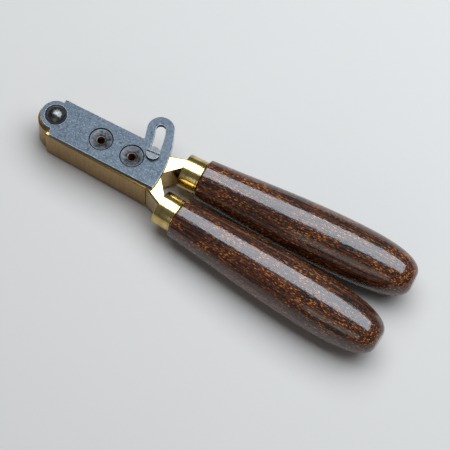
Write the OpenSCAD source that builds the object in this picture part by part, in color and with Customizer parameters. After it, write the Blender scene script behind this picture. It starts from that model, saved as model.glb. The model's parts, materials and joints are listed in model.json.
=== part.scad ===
// Two-ball casting mould: two hinged brass halves, a swinging sprue plate and two wooden handles.
// The design frame has the hinge axis along Z at X = 0, Y = 0, the parting plane at Y = 0 and the
// handle axes at Z = 0. place() moves every piece to the part's own frame.

/* [Mould block] */
// Distance from the hinge axis to the block's nose shoulders
block_x0 = 0.6; // [0.4:0.1:1.6]
// Distance from the hinge axis to the block's tang end
block_x1 = 60; // [59:0.5:62]
// Width of each half, from the parting plane to its side
half_w = 11.4; // [11:0.1:12]
// Height of the block's top face over the handle axes
block_top = 9.6; // [9:0.3:9.9]
// Depth of the block's bottom face under the handle axes
block_low = 10.5; // [10.2:0.3:10.8]
// Radius of the long bottom edges
low_edge_r = 1.5; // [1:0.5:2.5]
// Chamfer of the long top edges
top_edge = 0.5; // [0.3:0.1:0.8]

/* [Cavities] */
// Radius of each ball cavity
ball_r = 5.5; // [4:0.1:5.8]
// Distance from the hinge axis to the front cavity
ball_x1 = 27; // [26:0.5:28]
// Distance from the hinge axis to the rear cavity
ball_x2 = 45.3; // [44.5:0.1:46]
// Radius of the sprue necks and of the holes in the sprue plate
sprue_r = 2.1; // [1.5:0.1:2.5]
// Length of each sprue neck between cavity and block top
sprue_neck = 1; // [0.8:0.1:1.5]

/* [Hinge] */
// Radius of the three hinge knuckles
knuckle_r = 9.3; // [9:0.1:10]
// Chamfer round the top knuckle, under the sprue plate's nose
knuckle_edge = 1.2; // [0.8:0.1:1.6]
// Radius of the hinge pin's shank
pin_r = 3; // [2.5:0.1:3.5]
// Radius of the hinge pin's dome head
dome_r = 5; // [4.6:0.1:5.4]
// Height of the dome head
dome_h = 2.8; // [2:0.1:3.5]
// Radius of the spring washer under the dome head
washer_r = 5.6; // [5.5:0.1:6]
// Thickness of the spring washer
washer_t = 0.9; // [0.6:0.1:1.2]

/* [Sprue plate] */
// Thickness of the sprue plate
plate_t = 2.6; // [2.4:0.1:3]
// Radius of the plate's round nose
nose_r = 8; // [7.8:0.1:8.4]
// Radius of the dished pouring holes at the plate's top
dish_r = 6.5; // [6:0.1:7]
// Depth of the straight step round each dish
dish_step = 0.4; // [0.3:0.1:0.5]
// Depth of the cone below the step
dish_cone = 1.1; // [0.8:0.1:1.2]
// Distance from the hinge axis to the middle of the arc slot
slot_run_r = 54.4; // [54:0.1:55]
// Width of the arc slot
slot_w = 5.2; // [5:0.1:5.6]
// Angle of the stop screw from the parting plane
stop_angle = 6.6; // [6:0.1:7]
// Swing of the sprue plate between the two ends of its slot
plate_swing = 15.6; // [14:0.2:15.6]
// Radius of the ear's round end
ear_r = 7.2; // [6.8:0.1:7.4]

/* [Stop screw] */
// Radius of the screw's cheese head
head_r = 3.65; // [3.4:0.05:3.8]
// Height of the screw's cheese head
head_h = 1.9; // [1.5:0.1:2.4]
// Angle of the driver slot
driver_angle = 7; // [0:1:30]

/* [Handles] */
// Distance from the hinge axis to the front of the ferrules
ferrule_x = 69.7; // [69:0.1:72]
// Distance from the parting plane to each ferrule's centre at its front
ferrule_y = 12; // [11.5:0.1:13]
// Outer radius of the ferrules
ferrule_r = 9.05; // [8.8:0.05:9.4]
// Distance from the front of the ferrules to the wood's shoulder
ferrule_len = 11; // [10:0.5:13]
// Angle of the fixed handle to the parting plane
fixed_splay = 2.7; // [2:0.1:4]
// Angle of the swinging handle to the parting plane
swing_splay = 3.1; // [2.5:0.1:4]
// Length of each handle behind its ferrule
handle_len = 120; // [110:1:130]
// Radius of the handle at its shoulder
shoulder_r = 10.9; // [10.5:0.1:11.2]
// Largest radius of the handle
swell_r = 14.8; // [14:0.1:15]
// Radius of the flat at the butt
butt_r = 4.5; // [3:0.5:6]

/* [Hidden] */
$fn = 64;
eps = 1;
FIXED = 1;
SWING = -1;

// Running clearance of the hinge pin, and of flat faces that slide on each other
run_fit = 0.05;
slide_gap = 0.1;
// Clearance of pieces that are driven together
drive_fit = 0.02;
// Room round a knuckle that turns inside the other half
knuckle_room = 0.3;

// Heights between which the swinging half's knuckle lies, with a fixed knuckle below and above it
leaf_h = (block_top + block_low) / 3;
leaf_low = -block_low + leaf_h;
leaf_high = block_top - leaf_h;

ball_z = block_top - sprue_neck - ball_r;
plate_low = block_top + slide_gap;
plate_top = plate_low + plate_t;

// Shallow seat of the spring washer in the plate
seat_depth = 0.4;
seat_r = washer_r + 0.2;
washer_z = plate_top - seat_depth + run_fit;
end_washer_r = 5;
end_washer_t = 1;
rivet_r = 3.6;
rivet_h = 0.5;

// Sprue plate outline: corners of its body, and the arc of its free edge
plate_corners = [[0, 0], [0, 10], [43, 11.6], [64, 12.3], [64, -9.8], [2.7, -11.3], [1.2, -7.4]];
free_edge_c = [3, -4.3];
free_edge_r = 60.6;
ear_neck_r = slot_run_r - ear_r;
ear_angle = stop_angle + plate_swing;

// Fillet in the corner between the body's far edge and the ear
ear_corner = [ear_neck_r - 0.45, 11.5];
ear_fillet_r = 2.6;
ear_fillet_c = ear_corner + [-ear_fillet_r, ear_fillet_r];

// Stop screw below its head: the shoulder that runs in the slot, then the thread
shoulder_screw_r = 2.3;
thread_r = 1.9;
thread_len = 8;
driver_w = 0.9;
driver_depth = 1;

// Alignment pins
dowel_r = 1.5;
dowel_z = -5.2;
dowel_len = 10;
dowel_out = 3;
dowel_room = 0.25;
dowel_x1 = (ball_x1 + ball_x2) / 2;
dowel_x2 = 55.2;

// Tangs: mouth of the notch between them, outer edge at the root, and size where they meet the ferrules,
// given across the handle's axis; their long outer edges are chamfered
notch_x = 62;
tang_root_y = 11;
tang_in = -2.8;
tang_out = 2.8;
tang_end_z = 8.2;
tang_chamfer = 1;

// Spike that runs up inside the handle, in the middle of the tang's end
spike_len = 52;
spike_w = 3.6;
spike_h = 9;
spike_tip_w = 2.2;
spike_tip_h = 4;

// Handle: ferrule tube, which stops short of the wood's shoulder by a gap, the tenon in it, and the
// curves of the handle's outline as [radius, distance]
ferrule_wall = 0.8;
ferrule_edge = 0.4;
ferrule_gap = 0.45;
tube_len = ferrule_len - ferrule_gap;
tenon_r = ferrule_r - ferrule_wall - drive_fit;
tenon_front = 0.5;
shoulder_edge = 0.8;
swell_at = 80;
swell_curve = [[shoulder_r, shoulder_edge], [shoulder_r + 1.4, 28], [swell_r + 0.1, 50], [swell_r, swell_at]];
butt_curve = [[swell_r, swell_at], [swell_r, swell_at + 20], [swell_r - 1.7, handle_len - 1.5],
              [butt_r, handle_len]];
curve_steps = 14;

// Retaining pins of the handles
lock_r = 1;
lock_at = 6;
lock_top = 4.5;

function splay(side) = side == FIXED ? fixed_splay : -swing_splay;
function bezier(p, t) = pow(1 - t, 3) * p[0] + 3 * pow(1 - t, 2) * t * p[1]
                      + 3 * (1 - t) * t * t * p[2] + pow(t, 3) * p[3];
handle_outline = concat([for (i = [0:curve_steps]) bezier(swell_curve, i / curve_steps)],
                        [for (i = [1:curve_steps]) bezier(butt_curve, i / curve_steps)]);

// The part's box, from the handles' outline and the hinge end, sets where its own frame lies
function side_reach(angle) = max([for (p = handle_outline)
    ferrule_y + (ferrule_len + p[1]) * sin(angle) + p[0] * cos(angle)]);
function end_reach(angle) = max([for (p = handle_outline)
    ferrule_x + (ferrule_len + p[1]) * cos(angle) + p[0] * sin(angle)]);
mid_x = (max(end_reach(fixed_splay), end_reach(swing_splay)) - max(nose_r, knuckle_r)) / 2;
mid_y = (side_reach(fixed_splay) - side_reach(swing_splay)) / 2;
rise = max([for (p = handle_outline) p[0]]);

module place() {
    translate([-mid_x, -mid_y, rise]) children();
}

// Local frame of a handle: +X along its axis from the front of the ferrule
module on_handle(side) {
    translate([ferrule_x, side * ferrule_y, 0]) rotate([0, 0, splay(side)]) children();
}

// Turns a solid of revolution about Z into one about the handle's axis
module lathe_x() {
    rotate([0, 90, 0]) children();
}

// Mirrors what is drawn for the fixed side onto the given side
module to_side(side) {
    if (side == FIXED) children();
    else mirror([0, 1, 0]) children();
}

// Long block with a rounded bottom edge and a chamfered top edge
module block() {
    translate([block_x0, 0, 0]) rotate([90, 0, 90]) linear_extrude(block_x1 - block_x0) {
        difference() {
            translate([0, -block_low]) square([half_w, block_low + block_top]);
            translate([half_w - low_edge_r, -block_low - eps]) square([low_edge_r + eps, low_edge_r + eps]);
            translate([half_w - top_edge, block_top])
                polygon([[0, 0], [0, eps], [top_edge + eps, eps], [top_edge + eps, -top_edge],
                         [top_edge, -top_edge]]);
        }
        translate([half_w - low_edge_r, low_edge_r - block_low]) intersection() {
            circle(low_edge_r);
            translate([0, -low_edge_r]) square(low_edge_r);
        }
    }
}

// One level of the hinge: a round knuckle, chamfered at its top where edge isn't 0, and the web to its half
module knuckle(low, high, edge) {
    translate([0, 0, low]) {
        cylinder(r = knuckle_r, h = high - low - edge);
        cube([block_x0 + eps, knuckle_r - edge, high - low]);
    }
    if (edge > 0)
        translate([0, 0, high - edge]) cylinder(r1 = knuckle_r, r2 = knuckle_r - edge, h = edge);
}

module knuckle_clearance(low, high) {
    translate([0, 0, low]) cylinder(r = knuckle_r + knuckle_room, h = high - low);
}

// Point on the plane of the ferrule's front, at a distance across the handle's axis
function on_front(side, across) = [ferrule_x - across * sin(abs(splay(side))),
                                   ferrule_y + across * cos(splay(side))];

// Tang between block and ferrule: its plan outline meets its side outline
module tang(side) {
    inner_end = on_front(side, tang_in);
    outer_end = on_front(side, tang_out);
    root_x = block_x1 - eps;
    difference() {
        intersection() {
            translate([0, 0, -block_low]) linear_extrude(block_low + block_top)
                polygon([[root_x, 0], [notch_x, 0], inner_end, outer_end, [block_x1, tang_root_y],
                         [root_x, tang_root_y]]);
            rotate([90, 0, 0]) translate([0, 0, -2 * half_w]) linear_extrude(2 * half_w)
                polygon([[root_x, -block_low], [block_x1, -block_low], [ferrule_x + eps, -tang_end_z],
                         [ferrule_x + eps, tang_end_z], [block_x1, block_top], [root_x, block_top]]);
        }
        for (z = [1, -1])
            chamfer_cut([block_x1, tang_root_y], outer_end, z > 0 ? block_top : -block_low, z * tang_end_z);
    }
}

// Bar turned on edge that takes the corner off an outer edge running from one plan point to another
module chamfer_cut(from, to, from_z, to_z) {
    run = to - from;
    length = norm(run);
    translate([from[0], from[1], from_z]) rotate([0, 0, atan2(run[1], run[0])])
        rotate([0, -atan2(to_z - from_z, length), 0]) rotate([45, 0, 0])
            translate([-length, -tang_chamfer / sqrt(2), -tang_chamfer / sqrt(2)])
                cube([3 * length, sqrt(2) * tang_chamfer, sqrt(2) * tang_chamfer]);
}

// Flat spike along the handle's axis, tapered in width and in height
module spike(grow, length) {
    intersection() {
        translate([0, 0, -spike_h]) linear_extrude(2 * spike_h)
            taper(spike_w / 2 + grow, spike_tip_w / 2 + grow, length);
        rotate([90, 0, 0]) translate([0, 0, -spike_w]) linear_extrude(2 * spike_w)
            taper(spike_h / 2 + grow, spike_tip_h / 2 + grow, length);
    }
}

module taper(start, tip, length) {
    polygon([[0, -start], [length, -tip], [length, tip], [0, start]]);
}

// One brass half, drawn on its own side of the parting plane
module casting(side) {
    difference() {
        union() {
            to_side(side) {
                block();
                tang(side);
                if (side == FIXED) {
                    knuckle(-block_low, leaf_low, 0);
                    knuckle(leaf_high, block_top, knuckle_edge);
                } else {
                    knuckle(leaf_low + slide_gap, leaf_high - slide_gap, 0);
                }
            }
            on_handle(side) to_side(side) spike(0, spike_len);
        }
        if (side == FIXED) {
            knuckle_clearance(leaf_low, leaf_high);
            stop_screw_hole();
            alignment_holes(dowel_r + drive_fit, dowel_len - dowel_out);
            translate([0, 0, -block_low - eps])
                cylinder(r = end_washer_r + drive_fit, h = end_washer_t + eps);
        } else {
            knuckle_clearance(-block_low - eps, leaf_low + slide_gap);
            knuckle_clearance(leaf_high - slide_gap, block_top + eps);
            alignment_holes(dowel_r + dowel_room, -dowel_out - slide_gap - dowel_room);
        }
        translate([0, 0, -block_low - eps])
            cylinder(r = pin_r + (side == FIXED ? drive_fit : run_fit), h = block_low + block_top + 2 * eps);
        cavity(ball_x1);
        cavity(ball_x2);
        on_handle(side) to_side(side) lock_hole();
    }
}

// Ball cavity and the sprue neck above it
module cavity(x) {
    translate([x, 0, ball_z]) {
        sphere(ball_r);
        cylinder(r = sprue_r, h = block_top - ball_z + eps);
    }
}

module stop_screw_hole() {
    rotate([0, 0, stop_angle]) translate([slot_run_r, 0, block_top - thread_len - drive_fit])
        cylinder(r = thread_r + drive_fit, h = thread_len + eps);
}

// Holes across the parting plane, running into +Y for a positive depth
module alignment_holes(r, depth) {
    for (x = [dowel_x1, dowel_x2])
        translate([x, depth > 0 ? -eps : depth, dowel_z]) rotate([-90, 0, 0])
            cylinder(r = r, h = abs(depth) + eps);
}

module lock_hole() {
    translate([lock_at, 0, -ferrule_r - eps])
        cylinder(r = lock_r + drive_fit, h = ferrule_r + lock_top + drive_fit + eps);
}

module fixed_half() {
    color("goldenrod") place() casting(FIXED);
}

module swing_half() {
    color("darkgoldenrod") place() casting(SWING);
}

// Part of a ring about the hinge axis, from one angle to another
module arc_band(inner, outer, from, to) {
    reach = 2 * outer;
    intersection() {
        difference() {
            circle(outer);
            circle(inner);
        }
        polygon([[0, 0], reach * [cos(from), sin(from)], reach * [cos(to), sin(to)]]);
    }
}

// Places what is drawn at the origin on the slot's centre line, at the given angle
module at_slot(angle) {
    rotate(angle) translate([slot_run_r, 0]) children();
}

module arc_slot() {
    arc_band(slot_run_r - slot_w / 2, slot_run_r + slot_w / 2, stop_angle, ear_angle);
    at_slot(stop_angle) circle(slot_w / 2);
    at_slot(ear_angle) circle(slot_w / 2);
}

module plate_outline() {
    intersection() {
        translate(free_edge_c) circle(free_edge_r, $fn = 256);
        union() {
            polygon(plate_corners);
            arc_band(ear_neck_r, slot_run_r + 2 * ear_r, 0, ear_angle);
            difference() {
                translate([ear_fillet_c[0], 0]) square([ear_fillet_r + 2, ear_fillet_c[1]]);
                translate(ear_fillet_c) circle(ear_fillet_r);
            }
        }
    }
    at_slot(ear_angle) circle(ear_r);
    circle(nose_r);
}

// Step, cone and through hole of one dished pouring hole
module dish(x) {
    translate([x, 0, plate_top]) {
        translate([0, 0, -dish_step]) cylinder(r = dish_r, h = dish_step + eps);
        translate([0, 0, -dish_step - dish_cone])
            cylinder(r1 = sprue_r, r2 = dish_r - dish_step, h = dish_cone);
        translate([0, 0, -plate_t - eps]) cylinder(r = sprue_r, h = plate_t + eps);
    }
}

module sprue_plate() {
    color("lightslategray") place() difference() {
        translate([0, 0, plate_low]) linear_extrude(plate_t) difference() {
            plate_outline();
            arc_slot();
            circle(pin_r + run_fit);
        }
        dish(ball_x1);
        dish(ball_x2);
        translate([0, 0, plate_top - seat_depth]) cylinder(r = seat_r, h = seat_depth + eps);
    }
}

// Dome head, shank, and the riveted end that spreads inside the end washer
module hinge_pin() {
    head_z = washer_z + washer_t + drive_fit;
    sphere_r = (dome_r * dome_r + dome_h * dome_h) / (2 * dome_h);
    color("dimgray") place() {
        intersection() {
            translate([0, 0, head_z]) cylinder(r = dome_r, h = dome_h + eps);
            translate([0, 0, head_z + dome_h - sphere_r]) sphere(sphere_r, $fn = 96);
        }
        translate([0, 0, -block_low]) {
            cylinder(r = pin_r, h = block_low + head_z + dome_h / 2);
            cylinder(r1 = rivet_r, r2 = pin_r, h = rivet_h);
        }
    }
}

module hinge_spring_washer() {
    color("black") place() translate([0, 0, washer_z]) difference() {
        cylinder(r = washer_r, h = washer_t);
        translate([0, 0, -eps]) cylinder(r = pin_r + drive_fit, h = washer_t + 2 * eps);
    }
}

module hinge_end_washer() {
    color("silver") place() translate([0, 0, -block_low]) difference() {
        cylinder(r = end_washer_r, h = end_washer_t);
        translate([0, 0, -eps]) cylinder(r = pin_r + drive_fit, h = end_washer_t + 2 * eps);
        cylinder(r1 = rivet_r + drive_fit, r2 = pin_r + drive_fit, h = rivet_h);
    }
}

module stop_screw() {
    head_z = plate_top + slide_gap;
    color("silver") place() rotate([0, 0, stop_angle]) translate([slot_run_r, 0, 0]) {
        difference() {
            translate([0, 0, head_z]) cylinder(r = head_r, h = head_h);
            translate([0, 0, head_z + head_h - driver_depth]) rotate([0, 0, driver_angle - stop_angle])
                translate([-head_r - eps, -driver_w / 2, 0])
                    cube([2 * (head_r + eps), driver_w, driver_depth + eps]);
        }
        translate([0, 0, block_top]) cylinder(r = shoulder_screw_r, h = head_z - block_top);
        translate([0, 0, block_top - thread_len]) cylinder(r = thread_r, h = thread_len);
    }
}

// Pin driven into the fixed half, with a short cone on its free end
module alignment_pin(x) {
    tip = 0.6;
    color("gainsboro") place() translate([x, -dowel_out, dowel_z]) rotate([-90, 0, 0]) {
        cylinder(r1 = dowel_r - tip, r2 = dowel_r, h = tip);
        translate([0, 0, tip]) cylinder(r = dowel_r, h = dowel_len - tip);
    }
}

module front_alignment_pin() {
    alignment_pin(dowel_x1);
}

module rear_alignment_pin() {
    alignment_pin(dowel_x2);
}

module ferrule(side) {
    inner = ferrule_r - ferrule_wall;
    color("gold") place() on_handle(side) to_side(side) difference() {
        lathe_x() rotate_extrude()
            polygon([[inner, 0], [ferrule_r - ferrule_edge, 0], [ferrule_r, ferrule_edge],
                     [ferrule_r, tube_len - ferrule_edge], [ferrule_r - ferrule_edge, tube_len],
                     [inner, tube_len]]);
        lock_hole();
    }
}

module fixed_ferrule() {
    ferrule(FIXED);
}

module swing_ferrule() {
    ferrule(SWING);
}

// Turned handle: tenon, rounded shoulder, swell and butt
module handle(side) {
    color("saddlebrown") place() on_handle(side) to_side(side) difference() {
        lathe_x() {
            translate([0, 0, tenon_front]) cylinder(r = tenon_r, h = ferrule_len - tenon_front + eps);
            translate([0, 0, ferrule_len]) rotate_extrude() {
                polygon(concat([[0, 0], [shoulder_r - shoulder_edge, 0]], handle_outline, [[0, handle_len]]));
                intersection() {
                    translate([shoulder_r - shoulder_edge, shoulder_edge]) circle(shoulder_edge, $fn = 32);
                    square([shoulder_r, shoulder_edge]);
                }
            }
        }
        spike(run_fit, spike_len + run_fit);
        lock_hole();
    }
}

module fixed_handle() {
    handle(FIXED);
}

module swing_handle() {
    handle(SWING);
}

module handle_pin(side) {
    color("khaki") place() on_handle(side) to_side(side) translate([lock_at, 0, -ferrule_r])
        cylinder(r = lock_r, h = ferrule_r + lock_top);
}

module fixed_handle_pin() {
    handle_pin(FIXED);
}

module swing_handle_pin() {
    handle_pin(SWING);
}

fixed_half();
swing_half();
sprue_plate();
hinge_pin();
hinge_spring_washer();
hinge_end_washer();
stop_screw();
front_alignment_pin();
rear_alignment_pin();
fixed_ferrule();
swing_ferrule();
fixed_handle();
swing_handle();
fixed_handle_pin();
swing_handle_pin();
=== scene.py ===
import json
import math

import bmesh
import bpy
from mathutils import Matrix, Vector


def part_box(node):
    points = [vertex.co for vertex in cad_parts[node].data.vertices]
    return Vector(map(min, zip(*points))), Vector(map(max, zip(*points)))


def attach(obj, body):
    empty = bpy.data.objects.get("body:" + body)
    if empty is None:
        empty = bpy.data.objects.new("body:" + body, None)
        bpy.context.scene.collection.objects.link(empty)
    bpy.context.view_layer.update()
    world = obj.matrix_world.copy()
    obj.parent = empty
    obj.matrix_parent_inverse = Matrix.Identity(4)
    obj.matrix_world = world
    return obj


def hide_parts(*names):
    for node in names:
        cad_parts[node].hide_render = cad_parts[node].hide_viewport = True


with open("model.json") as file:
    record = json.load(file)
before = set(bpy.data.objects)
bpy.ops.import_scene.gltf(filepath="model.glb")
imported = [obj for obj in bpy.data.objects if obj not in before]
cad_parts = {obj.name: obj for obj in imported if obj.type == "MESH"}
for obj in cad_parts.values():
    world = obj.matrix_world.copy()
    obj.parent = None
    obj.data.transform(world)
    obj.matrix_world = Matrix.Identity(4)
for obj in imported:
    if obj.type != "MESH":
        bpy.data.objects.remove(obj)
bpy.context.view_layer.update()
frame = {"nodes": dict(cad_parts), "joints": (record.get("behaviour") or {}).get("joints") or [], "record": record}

MM = 0.001
HINGE = Vector(frame["joints"][0]["pos_m"])
MOUNTS = {m["name"]: Vector(m["pos_m"]) for m in frame["record"]["mounts"]}
SPRUE_HOLES = [MOUNTS["sprue_hole_front"], MOUNTS["sprue_hole_rear"]]
BODIES = frame["record"]["behaviour"]["bodies"]
BODY_OF = {node: body for body, members in BODIES.items() for node in members}

# Handles and ferrules, in mm: distances run along the handle's axis from the front of its ferrule
SPLAY = {"fixed": 2.7, "swing": -3.1}
FERRULE_R = 9.05
FERRULE_LEN = 11
FERRULE_WALL = 0.8
TUBE_LEN = 10.55
LIP = 1.1
TENON_FRONT = 0.5
SHOULDER_R = 10.9
SWELL_R = 14.8
SWELL_AT = 80
BUTT_R = 4.5
HANDLE_LEN = 120

# Radii of the pouring dishes and ball cavities, and the block's top and tang end, in mm from the hinge
# joint's point
DISH_R = 6.5
CAVITY_R = 5.5
BLOCK_TOP = 9.6
BLOCK_END = 60
TOLERANCE = 0.05

# Smallest angles, in degrees, at which an edge is rounded, or is left unsmoothed
ROUND_FROM = 32
ROUND_CRISP_FROM = 28
UNSMOOTHED_FROM = 50


# ---------------------------------------------------------------- meshes

def new_object(name, bm, materials):
    """A smooth-shaded object made from bm, in the row frame."""
    mesh = bpy.data.meshes.new(name)
    bmesh.ops.recalc_face_normals(bm, faces=bm.faces)
    bm.to_mesh(mesh)
    bm.free()
    mesh.shade_smooth()
    for material in materials:
        mesh.materials.append(material)
    obj = bpy.data.objects.new(name, mesh)
    bpy.context.scene.collection.objects.link(obj)
    return obj


def stand_for(obj, node):
    """obj is shown in place of a CAD node, on the same body."""
    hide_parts(node)
    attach(obj, BODY_OF[node])


def even_normals(obj):
    """Flat faces stay flat beside their rounded edges."""
    modifier = obj.modifiers.new("even_normals", "WEIGHTED_NORMAL")
    modifier.keep_sharp = True
    modifier.weight = 80


def is_sharp(edge, degrees):
    """Whether an edge between two faces turns by more than that angle."""
    return len(edge.link_faces) == 2 and edge.calc_face_angle(0) > math.radians(degrees)


def middle_of(edge):
    return (edge.verts[0].co + edge.verts[1].co) / 2


def round_edges(bm, edges, radius, edge_wear_and_highlight):
    """Rounds edges by radius mm and marks the new faces, which the materials paint lighter: partly wear, partly
    painted highlight.
    """
    made = bmesh.ops.bevel(bm, geom=edges, offset=radius * MM, offset_type="OFFSET", segments=3,
                           profile=0.5, affect="EDGES", clamp_overlap=True, material=-1)
    for face in made["faces"]:
        face[edge_wear_and_highlight] = 1.0


def rounded_copy(node, name, radius, materials, pick=None, crisp=None):
    """A finer copy of a CAD node: flats in one face each, and every sharp edge rounded by radius mm, or by
    a quarter of it where crisp(point) holds. pick(centre, normal) gives a face's material index.
    Rounded edges carry a face attribute that the materials read to paint them lighter: partly wear, partly painted
    highlight."""
    bm = bmesh.new()
    bm.from_mesh(frame["nodes"][node].data)
    bmesh.ops.remove_doubles(bm, verts=bm.verts, dist=1e-6)
    bmesh.ops.dissolve_limit(bm, angle_limit=math.radians(0.5), verts=bm.verts, edges=bm.edges)
    if pick:
        for face in bm.faces:
            face.material_index = pick(face.calc_center_median(), face.normal)
    # Face attribute of the rounded faces, which the materials paint lighter: partly wear, partly painted highlight
    edge_wear_and_highlight = bm.faces.layers.float.new("edge_wear_and_highlight")
    if crisp:
        near = [e for e in bm.edges if is_sharp(e, ROUND_CRISP_FROM) and crisp(middle_of(e))]
        round_edges(bm, near, radius / 4, edge_wear_and_highlight)
    rest = [e for e in bm.edges if is_sharp(e, ROUND_FROM) and not (crisp and crisp(middle_of(e)))]
    round_edges(bm, rest, radius, edge_wear_and_highlight)
    for edge in bm.edges:
        edge.smooth = not is_sharp(edge, UNSMOOTHED_FROM)
    obj = new_object(name, bm, materials)
    even_normals(obj)
    stand_for(obj, node)


def lathe(name, outline, materials, place, segments=128):
    """A solid of revolution about local X from an outline of (x, radius) in mm, put at place."""
    bm = bmesh.new()
    rings = []
    for x, radius in outline:
        if radius == 0:
            rings.append([bm.verts.new((x * MM, 0, 0))])
            continue
        turn = [2 * math.pi * i / segments for i in range(segments)]
        rings.append([bm.verts.new((x * MM, radius * MM * math.cos(a), radius * MM * math.sin(a)))
                      for a in turn])
    closed = rings if len(rings[0]) == 1 else rings + [rings[0]]
    for near, far in zip(closed, closed[1:]):
        for i in range(segments):
            corners = [near[i % len(near)], near[(i + 1) % len(near)],
                       far[(i + 1) % len(far)], far[i % len(far)]]
            bm.faces.new(list(dict.fromkeys(corners)))
    for edge in bm.edges:
        edge.smooth = not is_sharp(edge, UNSMOOTHED_FROM)
    obj = new_object(name, bm, materials)
    obj.matrix_world = place
    return obj


def bezier(p, steps):
    """Points of one cubic curve, without its first point."""
    found = []
    for i in range(1, steps + 1):
        t = i / steps
        k = ((1 - t) ** 3, 3 * (1 - t) ** 2 * t, 3 * (1 - t) * t * t, t ** 3)
        found.append(tuple(sum(w * q[axis] for w, q in zip(k, p)) for axis in (0, 1)))
    return found


def arc(x, radius, size, start, end, steps=6):
    """Points of a round corner of that size about (x, radius), angles in degrees."""
    turn = [math.radians(start + (end - start) * i / steps) for i in range(steps + 1)]
    return [(x + size * math.cos(a), radius + size * math.sin(a)) for a in turn]


# ---------------------------------------------------------------- shader nodes

class Shader:
    """Builds one material's nodes. A value is a number, a colour, or the socket of another node."""

    def __init__(self, name, **sockets):
        self.material = bpy.data.materials.new(name)
        self.material.use_nodes = True
        self.nodes = self.material.node_tree.nodes
        self.links = self.material.node_tree.links
        self.surface = self.nodes["Principled BSDF"]
        for socket, value in sockets.items():
            self.surface.inputs[socket.replace("_", " ").title().replace("Ior", "IOR")].default_value = value

    def put(self, value, socket):
        if isinstance(value, bpy.types.NodeSocket):
            self.links.new(value, socket)
        elif isinstance(value, tuple):
            missing = len(socket.default_value) - len(value)
            socket.default_value = value + (1,) * missing
        else:
            socket.default_value = value

    def set(self, socket, value):
        self.put(value, self.surface.inputs[socket])

    def coords(self, stretch=(1, 1, 1), shift=(0, 0, 0)):
        """Object coordinates in mm, stretched along each axis."""
        source = self.nodes.new("ShaderNodeTexCoord").outputs["Object"]
        mapping = self.nodes.new("ShaderNodeMapping")
        self.links.new(source, mapping.inputs["Vector"])
        mapping.inputs["Scale"].default_value = tuple(1 / (MM * s) for s in stretch)
        mapping.inputs["Location"].default_value = shift
        return mapping.outputs["Vector"]

    def noise(self, vector, scale, detail=3, rough=0.55, distortion=0):
        """Cloudy noise of 0 to 1."""
        node = self.nodes.new("ShaderNodeTexNoise")
        self.links.new(vector, node.inputs["Vector"])
        for socket, value in (("Scale", scale), ("Detail", detail), ("Roughness", rough),
                              ("Distortion", distortion)):
            node.inputs[socket].default_value = value
        return node.outputs["Fac"]

    def cells(self, vector, scale):
        """Scattered points: the distance to the nearest one, and a random level for each."""
        node = self.nodes.new("ShaderNodeTexVoronoi")
        self.links.new(vector, node.inputs["Vector"])
        node.inputs["Scale"].default_value = scale
        return node.outputs["Distance"], node.outputs["Color"]

    def ramp(self, value, *stops):
        """Runs value through (position, level or colour) stops."""
        node = self.nodes.new("ShaderNodeValToRGB")
        self.links.new(value, node.inputs["Fac"])
        elements = node.color_ramp.elements
        for i, (position, level) in enumerate(stops):
            element = elements[i] if i < 2 else elements.new(position)
            element.position = position
            element.color = (*level, 1) if isinstance(level, tuple) else (level, level, level, 1)
        return node.outputs["Color"]

    def mix(self, share, a, b):
        """Colour a, with that share of colour b."""
        node = self.nodes.new("ShaderNodeMix")
        node.data_type = "RGBA"
        self.put(share, node.inputs["Factor"])
        self.put(a, node.inputs[6])
        self.put(b, node.inputs[7])
        return node.outputs[2]

    def math(self, operation, a, b=0.0):
        """One arithmetic step on a and b."""
        node = self.nodes.new("ShaderNodeMath")
        node.operation = operation
        self.put(a, node.inputs[0])
        self.put(b, node.inputs[1])
        return node.outputs[0]

    def between(self, value, low, high):
        """Takes a value of 0 to 1 to the range low to high."""
        node = self.nodes.new("ShaderNodeMapRange")
        self.links.new(value, node.inputs["Value"])
        node.inputs["To Min"].default_value = low
        node.inputs["To Max"].default_value = high
        return node.outputs["Result"]

    def attribute(self, name):
        """A value stored on the mesh's faces."""
        node = self.nodes.new("ShaderNodeAttribute")
        node.attribute_name = name
        return node.outputs["Fac"]

    def distance_from(self, centre):
        """Distance in mm, in plan, from an upright axis through centre."""
        source = self.nodes.new("ShaderNodeTexCoord").outputs["Object"]
        away = self.nodes.new("ShaderNodeVectorMath")
        away.operation = "SUBTRACT"
        self.links.new(source, away.inputs[0])
        away.inputs[1].default_value = centre
        flat = self.nodes.new("ShaderNodeVectorMath")
        flat.operation = "MULTIPLY"
        self.links.new(away.outputs[0], flat.inputs[0])
        flat.inputs[1].default_value = (1 / MM, 1 / MM, 0)
        length = self.nodes.new("ShaderNodeVectorMath")
        length.operation = "LENGTH"
        self.links.new(flat.outputs[0], length.inputs[0])
        return length.outputs["Value"]

    def rings(self, away, pitch):
        """A wave of 0 to 1 that repeats every pitch mm of the distance away."""
        wave = self.math("SINE", self.math("MULTIPLY", away, 2 * math.pi / pitch))
        return self.math("ADD", self.math("MULTIPLY", wave, 0.5), 0.5)

    def bump(self, height, depth, under=None):
        """Normal for a height of 0 to 1 that stands for depth mm, on top of the normal under, if any."""
        node = self.nodes.new("ShaderNodeBump")
        self.links.new(height, node.inputs["Height"])
        node.inputs["Distance"].default_value = depth * MM
        node.inputs["Strength"].default_value = 1.0
        if under:
            self.links.new(under, node.inputs["Normal"])
        return node.outputs["Normal"]


# ---------------------------------------------------------------- materials

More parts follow.
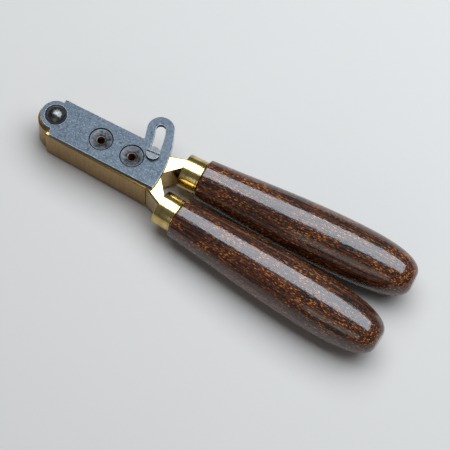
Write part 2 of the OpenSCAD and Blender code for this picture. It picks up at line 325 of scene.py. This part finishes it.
def blued_steel():
    """Mottled blue-grey finish with fine light and dark speckles, painted lighter in patches along the rounded
    edges: partly wear, partly painted highlight.
    """
    s = Shader("blued_steel", metallic=0.6)
    cloud = s.noise(s.coords(), 0.13, 4, 0.6)
    grain = s.noise(s.coords(), 1.0, 4, 0.8)
    speck = s.noise(s.coords(shift=(7, 3, 1)), 0.8, 3, 0.7)
    colour = s.mix(s.ramp(cloud, (0.35, 0.0), (0.65, 1.0)), (0.038, 0.049, 0.064), (0.055, 0.066, 0.081))
    colour = s.mix(s.ramp(speck, (0.52, 0.0), (0.64, 0.9)), colour, (0.012, 0.016, 0.023))
    colour = s.mix(s.ramp(grain, (0.50, 0.0), (0.64, 0.75)), colour, (0.132, 0.148, 0.165))
    patchy = s.ramp(s.noise(s.coords(), 0.5, 3), (0.3, 0.35), (0.6, 1.0))
    # Rounded edges painted lighter in patches: partly wear, partly painted highlight
    edge_wear_and_highlight = s.math("MULTIPLY", s.attribute("edge_wear_and_highlight"), patchy)
    s.set("Base Color", s.mix(edge_wear_and_highlight, colour, (0.42, 0.45, 0.48)))
    s.set("Roughness", s.between(s.noise(s.coords(shift=(2, 9, 4)), 0.8, 4, 0.6), 0.34, 0.58))
    s.set("Normal", s.bump(grain, 0.04))
    return s.material


def dish_steel():
    """Turned steel inside the pouring dishes: fine rings and dark stains, painted shade towards each hole, painted
    light further out, a near-black ring at the outer step, and a painted highlight on the lip at each hole.
    """
    s = Shader("dish_steel", metallic=0.9)
    away = s.math("MINIMUM", *[s.distance_from(hole) for hole in SPRUE_HOLES])
    out = s.math("DIVIDE", away, DISH_R)
    rings = s.rings(away, 0.45)
    soot = s.noise(s.coords(), 0.42, 5, 0.7)
    colour = s.mix(s.ramp(soot, (0.38, 0.0), (0.62, 1.0)), (0.006, 0.006, 0.007), (0.085, 0.087, 0.092))
    brown = s.ramp(s.noise(s.coords(shift=(5, 2, 0)), 0.3, 3, 0.6), (0.5, 0.0), (0.66, 0.6))
    colour = s.mix(brown, colour, (0.05, 0.022, 0.012))
    # Painted shade: darker towards each hole, down the cone
    colour = s.mix(s.ramp(out, (0.36, 0.85), (0.56, 0.0)), colour, (0.012, 0.008, 0.006))
    # Painted light: lighter from partway out to the outer edge of each dish
    colour = s.mix(s.ramp(out, (0.62, 0.0), (0.82, 0.4)), colour, (0.08, 0.083, 0.088))
    # Painted highlight: the rounded lip at each hole is painted bright
    lip = s.math("MULTIPLY", s.attribute("edge_wear_and_highlight"), s.ramp(out, (0.40, 1.0), (0.46, 0.0)))
    colour = s.mix(lip, colour, (0.62, 0.56, 0.50))
    s.set("Base Color", s.mix(s.ramp(out, (0.885, 0.0), (0.91, 1.0)), colour, (0.003, 0.003, 0.004)))
    s.set("Roughness", s.between(s.noise(s.coords(), 1.4, 3), 0.28, 0.5))
    s.set("Normal", s.bump(rings, 0.025, under=s.bump(soot, 0.12)))
    return s.material


def dark_steel():
    """Blackened steel, polished by use, with fine scratches and a few dull spots."""
    s = Shader("dark_steel", metallic=1.0)
    spots = s.noise(s.coords(), 0.7, 4, 0.7)
    scratches = s.noise(s.coords(stretch=(0.25, 4, 1)), 0.9, 2, 0.5)
    colour = s.mix(s.ramp(spots, (0.35, 0.0), (0.65, 1.0)), (0.05, 0.048, 0.047), (0.19, 0.18, 0.172))
    # Rounded edges painted lighter: partly wear, partly painted highlight
    s.set("Base Color", s.mix(s.math("MULTIPLY", s.attribute("edge_wear_and_highlight"), 0.5), colour, (0.33, 0.33, 0.34)))
    s.set("Roughness", s.between(spots, 0.16, 0.42))
    s.set("Normal", s.bump(scratches, 0.012, under=s.bump(spots, 0.05)))
    return s.material


def ground_steel():
    """Ground bright steel with a few grey stains."""
    s = Shader("ground_steel", metallic=1.0)
    stain = s.noise(s.coords(), 0.9, 4, 0.65)
    ground = s.noise(s.coords(stretch=(1, 0.1, 1)), 0.9, 2, 0.5)
    colour = s.mix(s.ramp(stain, (0.45, 0.0), (0.7, 0.8)), (0.50, 0.50, 0.51), (0.24, 0.235, 0.23))
    s.set("Base Color", colour)
    s.set("Roughness", s.between(stain, 0.2, 0.42))
    s.set("Normal", s.bump(ground, 0.01))
    return s.material


def black_steel():
    """Blackened spring steel, dull, with faint grey rubbing."""
    s = Shader("black_steel", metallic=0.7)
    rubbed = s.noise(s.coords(), 0.9, 4, 0.6)
    colour = s.mix(s.ramp(rubbed, (0.45, 0.0), (0.8, 1.0)), (0.004, 0.004, 0.005), (0.03, 0.03, 0.032))
    s.set("Base Color", colour)
    s.set("Roughness", s.between(rubbed, 0.4, 0.65))
    s.set("Normal", s.bump(rubbed, 0.02))
    return s.material


def turned_steel(centre):
    """Grey turned steel with rings about an upright axis through centre."""
    s = Shader("turned_steel", metallic=1.0)
    rings = s.rings(s.distance_from(centre), 0.28)
    stain = s.noise(s.coords(), 0.8, 4, 0.6)
    colour = s.mix(s.ramp(stain, (0.4, 0.0), (0.75, 0.6)), (0.080, 0.080, 0.083), (0.030, 0.029, 0.028))
    # Rounded edges painted lighter: partly wear, partly painted highlight
    s.set("Base Color", s.mix(s.attribute("edge_wear_and_highlight"), colour, (0.30, 0.30, 0.30)))
    s.set("Roughness", s.between(stain, 0.16, 0.38))
    s.set("Normal", s.bump(rings, 0.012))
    return s.material


def block_brass():
    """Golden-brown brass of the block, with fine upright brush marks and a light, even tarnish."""
    s = Shader("block_brass", metallic=1.0)
    brushed = s.noise(s.coords(stretch=(0.16, 0.16, 9)), 0.6, 3, 0.6)
    streak = s.noise(s.coords(stretch=(0.5, 0.5, 14)), 0.6, 4, 0.7)
    tarnish = s.noise(s.coords(), 0.22, 6, 0.75)
    colour = s.mix(s.ramp(tarnish, (0.3, 0.0), (0.75, 1.0)), (0.41, 0.250, 0.078), (0.33, 0.194, 0.056))
    colour = s.mix(s.ramp(streak, (0.48, 0.0), (0.68, 0.4)), colour, (0.23, 0.13, 0.040))
    colour = s.mix(s.ramp(brushed, (0.45, 0.0), (0.75, 0.3)), colour, (0.20, 0.11, 0.034))
    # Rounded edges painted lighter: partly wear, partly painted highlight
    s.set("Base Color", s.mix(s.math("MULTIPLY", s.attribute("edge_wear_and_highlight"), 0.7), colour, (0.86, 0.64, 0.32)))
    s.set("Roughness", s.between(brushed, 0.18, 0.42))
    s.set("Normal", s.bump(brushed, 0.025))
    return s.material


def tang_brass():
    """Filed and polished brass of the tangs, with fine lengthwise marks."""
    s = Shader("tang_brass", metallic=1.0)
    filed = s.noise(s.coords(stretch=(6, 0.2, 0.2)), 0.7, 3, 0.55)
    dull = s.noise(s.coords(), 0.3, 4, 0.6)
    colour = s.mix(s.ramp(dull, (0.35, 0.0), (0.7, 0.85)), (0.80, 0.60, 0.27), (0.46, 0.27, 0.09))
    s.set("Base Color", colour)
    s.set("Roughness", s.between(filed, 0.12, 0.26))
    s.set("Normal", s.bump(filed, 0.012))
    return s.material


def cavity_brass():
    """Brass inside the ball cavities and sprue necks, painted darker and redder than the block as shade in the
    deep hollows, with random mottling.
    """
    s = Shader("cavity_brass", metallic=0.9)
    soot = s.noise(s.coords(), 0.45, 4, 0.6)
    colour = s.mix(s.ramp(soot, (0.35, 0.0), (0.7, 1.0)), (0.33, 0.15, 0.065), (0.12, 0.055, 0.03))
    s.set("Base Color", colour)
    s.set("Roughness", s.between(soot, 0.3, 0.6))
    s.set("Normal", s.bump(soot, 0.04))
    return s.material


def ferrule_brass():
    """Polished spun brass with fine rings round the handle's axis and a few dull smears."""
    s = Shader("ferrule_brass", metallic=1.0)
    spun = s.noise(s.coords(stretch=(0.12, 14, 14)), 0.8, 3, 0.55)
    smear = s.noise(s.coords(stretch=(1, 2.5, 2.5)), 0.25, 4, 0.6)
    colour = s.mix(s.ramp(smear, (0.38, 0.0), (0.64, 0.8)), (0.76, 0.585, 0.25), (0.42, 0.29, 0.095))
    s.set("Base Color", colour)
    s.set("Roughness", s.between(smear, 0.10, 0.26))
    s.set("Normal", s.bump(spun, 0.018))
    return s.material


def scattered(s, stretch, scale, shift, size, least):
    """Spindle-shaped marks, 1 at their middle: the cells whose random level is above least."""
    distance, level = s.cells(s.coords(stretch=stretch, shift=shift), scale)
    shape = s.ramp(distance, (size * 0.45, 1.0), (size, 0.0))
    return s.math("MULTIPLY", shape, s.ramp(level, (least, 0.0), (least + 0.3, 1.0)))


def lacquered_wood(name, shift):
    """Beech stained dark red-brown, with ray flecks and pores along the grain, under gloss lacquer."""
    s = Shader(name, specular_ior_level=0.1, coat_weight=1.0, coat_roughness=0.09, coat_ior=1.56)
    tone = s.noise(s.coords(stretch=(6, 1, 1), shift=shift), 0.09, 3, 0.55)
    band = s.noise(s.coords(stretch=(5, 1, 1), shift=(shift[1], 5, 2)), 0.14, 4, 0.65, 0.6)
    line = s.noise(s.coords(stretch=(16, 0.6, 0.6), shift=shift), 0.8, 4, 0.65)
    colour = s.mix(s.ramp(tone, (0.35, 0.0), (0.65, 1.0)), (0.009, 0.0018, 0.0008), (0.034, 0.007, 0.0021))
    colour = s.mix(s.ramp(line, (0.50, 0.0), (0.62, 0.7)), colour, (0.11, 0.029, 0.007))
    lively = s.ramp(band, (0.38, 0.08), (0.56, 1.0))
    ruddy = s.math("MULTIPLY", scattered(s, (1.9, 0.6, 0.6), 1.15, (3, 8, 1), 0.45, 0.3), lively)
    colour = s.mix(ruddy, colour, (0.18, 0.038, 0.007))
    light = s.math("MULTIPLY", scattered(s, (2.4, 0.8, 0.8), 1.2, shift, 0.48, 0.3), lively)
    colour = s.mix(light, colour, (0.48, 0.155, 0.025))
    colour = s.mix(s.ramp(line, (0.38, 0.95), (0.46, 0.0)), colour, (0.002, 0.0012, 0.0012))
    pore = scattered(s, (2.6, 0.55, 0.55), 1.0, (9, 4, 6), 0.42, 0.25)
    s.set("Base Color", s.mix(pore, colour, (0.002, 0.0012, 0.0012)))
    s.set("Roughness", s.between(line, 0.42, 0.6))
    s.set("Normal", s.bump(light, 0.04))
    ripple = s.noise(s.coords(stretch=(3, 1.2, 1.2), shift=shift), 0.16, 2, 0.4)
    s.set("Coat Normal", s.bump(ripple, 0.05, under=s.bump(pore, 0.015)))
    return s.material


def floor_paint():
    """Pale, even matt paint."""
    s = Shader("floor_paint", specular_ior_level=0.25)
    patch = s.noise(s.coords(), 0.01, 3, 0.5)
    s.set("Base Color", s.mix(patch, (0.440, 0.393, 0.360), (0.460, 0.413, 0.380)))
    s.set("Roughness", s.between(patch, 0.62, 0.72))
    return s.material


# ---------------------------------------------------------------- pieces

def near_hole(point, radius):
    """Whether a point lies within radius mm, in plan, of one of the two sprue holes."""
    return min((point - hole).xy.length for hole in SPRUE_HOLES) < radius * MM


def on_dish_step(point):
    """Whether a point lies on one of the two edges of a dish's straight step."""
    return near_hole(point, DISH_R + 0.1) and not near_hole(point, DISH_R - 0.8)


def in_dish(centre, normal):
    """1 inside a pouring dish or its hole, 0 on the rest of the plate."""
    plate_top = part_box("sprue_plate")[1].z
    return int(near_hole(centre, DISH_R + TOLERANCE) and centre.z < plate_top - TOLERANCE * MM)


def painted_dark_side(centre, normal):
    """0 on faces that look up, 1 on the others, which are painted dark as shade."""
    return int(normal.z < 0.5)


def block_part(centre, normal):
    """0 for the block, 1 inside the ball cavities and necks, 2 for the tangs and spikes."""
    if centre.x > HINGE.x + (BLOCK_END + TOLERANCE) * MM:
        return 2
    return in_cavity(centre, normal)


def in_cavity(centre, normal):
    """1 inside a ball cavity or its neck, 0 on the block's own faces."""
    below_top = centre.z < HINGE.z + (BLOCK_TOP - TOLERANCE) * MM
    flat_side = abs(normal.y) > 0.999 or abs(normal.x) > 0.999 or normal.z < -0.999
    return int(near_hole(centre, CAVITY_R + TOLERANCE) and below_top and not flat_side)


def metal_pieces():
    """Every metal piece but the ferrules and the handle pins."""
    block = block_brass()
    cavity = cavity_brass()
    polished = tang_brass()
    dark = dark_steel()
    ground = ground_steel()
    for side in ("fixed", "swing"):
        rounded_copy(f"{side}_half", f"{side}_mould_half", 0.3, [block, cavity, polished],
                     block_part)
    rounded_copy("sprue_plate", "cutter_plate", 0.22, [blued_steel(), dish_steel()], in_dish,
                 on_dish_step)
    rounded_copy("hinge_pin", "dome_pin", 0.12, [dark])
    rounded_copy("hinge_spring_washer", "spring_washer", 0.15, [black_steel()])
    rounded_copy("hinge_end_washer", "end_washer", 0.1, [ground])
    low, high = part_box("stop_screw")
    # The screw head's sides and driver slot get dark steel as painted shade
    rounded_copy("stop_screw", "slotted_screw", 0.18, [turned_steel((low + high) / 2), dark],
                 painted_dark_side)
    for node in ("front_alignment_pin", "rear_alignment_pin"):
        rounded_copy(node, node.replace("alignment", "locating"), 0.1, [ground])


def handle_place(side):
    """Frame of a handle: local X along its axis, from the front of its ferrule."""
    low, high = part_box(f"{side}_ferrule")
    turn = Matrix.Rotation(math.radians(SPLAY[side]), 4, "Z")
    middle = (low + high) / 2
    return Matrix.Translation(middle) @ turn @ Matrix.Translation((-TUBE_LEN / 2 * MM, 0, 0))


def ferrule_outline():
    """Thin spun tube: rolled edges, and a fine groove that sets off a lip at the back."""
    inner = FERRULE_R - FERRULE_WALL
    edge, back, groove = 0.4, TUBE_LEN, TUBE_LEN - LIP
    groove_half, groove_r, groove_raised = 0.3, 0.2, 0.06
    outside = arc(edge, FERRULE_R - edge, edge, 180, 90)
    outside += [(groove - groove_half, FERRULE_R)]
    outside += arc(groove, FERRULE_R + groove_raised, groove_r, 200, 340)
    outside += [(groove + groove_half, FERRULE_R)] + arc(back - edge, FERRULE_R - edge, edge, 90, 0)
    return outside + [(back, inner + 0.1), (back - 0.1, inner), (0.1, inner), (0, inner + 0.1)]


def handle_outline():
    """Tenon inside the ferrule, rounded shoulder, swell and butt."""
    tenon_r = FERRULE_R - FERRULE_WALL - 0.02
    edge = 0.8
    swell = [(SHOULDER_R, edge), (SHOULDER_R + 1.4, 28), (SWELL_R + 0.1, 50), (SWELL_R, SWELL_AT)]
    butt = [(SWELL_R, SWELL_AT), (SWELL_R, SWELL_AT + 20), (SWELL_R - 1.7, HANDLE_LEN - 1.5),
            (BUTT_R, HANDLE_LEN)]
    points = [(TENON_FRONT, 0), (TENON_FRONT, tenon_r - 0.2), (TENON_FRONT + 0.2, tenon_r),
              (FERRULE_LEN, tenon_r)]
    points += arc(FERRULE_LEN + edge, SHOULDER_R - edge, edge, 180, 90, 8)
    points += [(FERRULE_LEN + x, radius) for radius, x in bezier(swell, 60) + bezier(butt, 60)]
    return points + [(FERRULE_LEN + HANDLE_LEN, BUTT_R / 2), (FERRULE_LEN + HANDLE_LEN, 0)]


def handles():
    """Both handles, each with its ferrule and pin."""
    brass = ferrule_brass()
    for side, shift in (("fixed", (0, 0, 0)), ("swing", (41, 7, 13))):
        place = handle_place(side)
        stand_for(lathe(f"{side}_grip_ferrule", ferrule_outline(), [brass], place), f"{side}_ferrule")
        wood = lacquered_wood(f"{side}_grip_wood", shift)
        stand_for(lathe(f"{side}_grip", handle_outline(), [wood], place, 160), f"{side}_handle")
        rounded_copy(f"{side}_handle_pin", f"{side}_grip_pin", 0.1, [brass])


# ---------------------------------------------------------------- floor, lights, camera

def floor():
    """Pale floor on which the handles and the nose's bottom edge rest."""
    handle_low, handle_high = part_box("swing_handle")
    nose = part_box("fixed_half")[0]
    rest_x = handle_low.x + SWELL_AT * MM
    tilt = math.atan2(nose.z, rest_x - nose.x)
    bm = bmesh.new()
    bmesh.ops.create_grid(bm, x_segments=1, y_segments=1, size=4)
    obj = new_object("floor", bm, [floor_paint()])
    gap = 0.1 * MM
    obj.matrix_world = Matrix.Translation((rest_x, 0, -gap)) @ Matrix.Rotation(tilt, 4, "Y")


def soft_box(name, aim, direction, distance, size, power, colour):
    """A rectangular light that faces aim from that direction; size is its width along X and its depth."""
    light = bpy.data.lights.new(name, "AREA")
    light.shape = "RECTANGLE"
    light.size, light.size_y = size
    light.energy = power
    light.color = colour
    obj = bpy.data.objects.new(name, light)
    bpy.context.scene.collection.objects.link(obj)
    away = Vector(direction).normalized()
    side = Vector((1, 0, 0))
    side = (side - away * side.dot(away)).normalized()
    pose = Matrix((side, away.cross(side), away)).transposed().to_4x4()
    pose.translation = aim + away * distance
    obj.matrix_world = pose
    return obj


def lights(aim):
    """One large soft light overhead, which the lacquer mirrors as a long strip, and a weak fill in front."""
    height = 1.0
    angles = (-30, 43, -6, 46)
    left, right, near, far = (height * math.tan(math.radians(a)) for a in angles)
    light = soft_box("overhead", aim, (0, 0, 1), height, (right - left, far - near), 34, (0.78, 0.90, 1.0))
    light.location += Vector(((left + right) / 2, (near + far) / 2, 0))
    soft_box("front_fill", aim, (0.2, -1, 0.55), 1.8, (1.2, 0.7), 3, (1.0, 0.95, 0.88))
    world = bpy.data.worlds.new("studio")
    bpy.context.scene.world = world
    world.use_nodes = True
    background = world.node_tree.nodes["Background"]
    background.inputs["Color"].default_value = (0.80, 0.84, 0.90, 1)
    background.inputs["Strength"].default_value = 0.16


def camera(aim):
    """Long lens that looks steeply down from the near side and is rolled a little."""
    azimuth, elevation, roll = (math.radians(a) for a in (24.857, 66, 5.648))
    distance, focal, film = 1.1023, 172.9, 36
    back = Vector((math.sin(azimuth) * math.cos(elevation), -math.cos(azimuth) * math.cos(elevation),
                   math.sin(elevation)))
    right = Vector((0, 0, 1)).cross(back).normalized()
    up = back.cross(right)
    level = Matrix((right, up, back)).transposed()
    pose = (level @ Matrix.Rotation(roll, 3, "Z")).to_4x4()
    pose.translation = aim + back * distance
    data = bpy.data.cameras.new("camera")
    data.sensor_width, data.lens = film, focal
    data.shift_x, data.shift_y = 0.0027, -0.0196
    obj = bpy.data.objects.new("camera", data)
    bpy.context.scene.collection.objects.link(obj)
    obj.matrix_world = pose
    bpy.context.scene.camera = obj


metal_pieces()
handles()
floor()
middle = HINGE + Vector((100, 0, 0)) * MM
lights(middle)
camera(middle)
bpy.context.scene.view_settings.view_transform = "Standard"
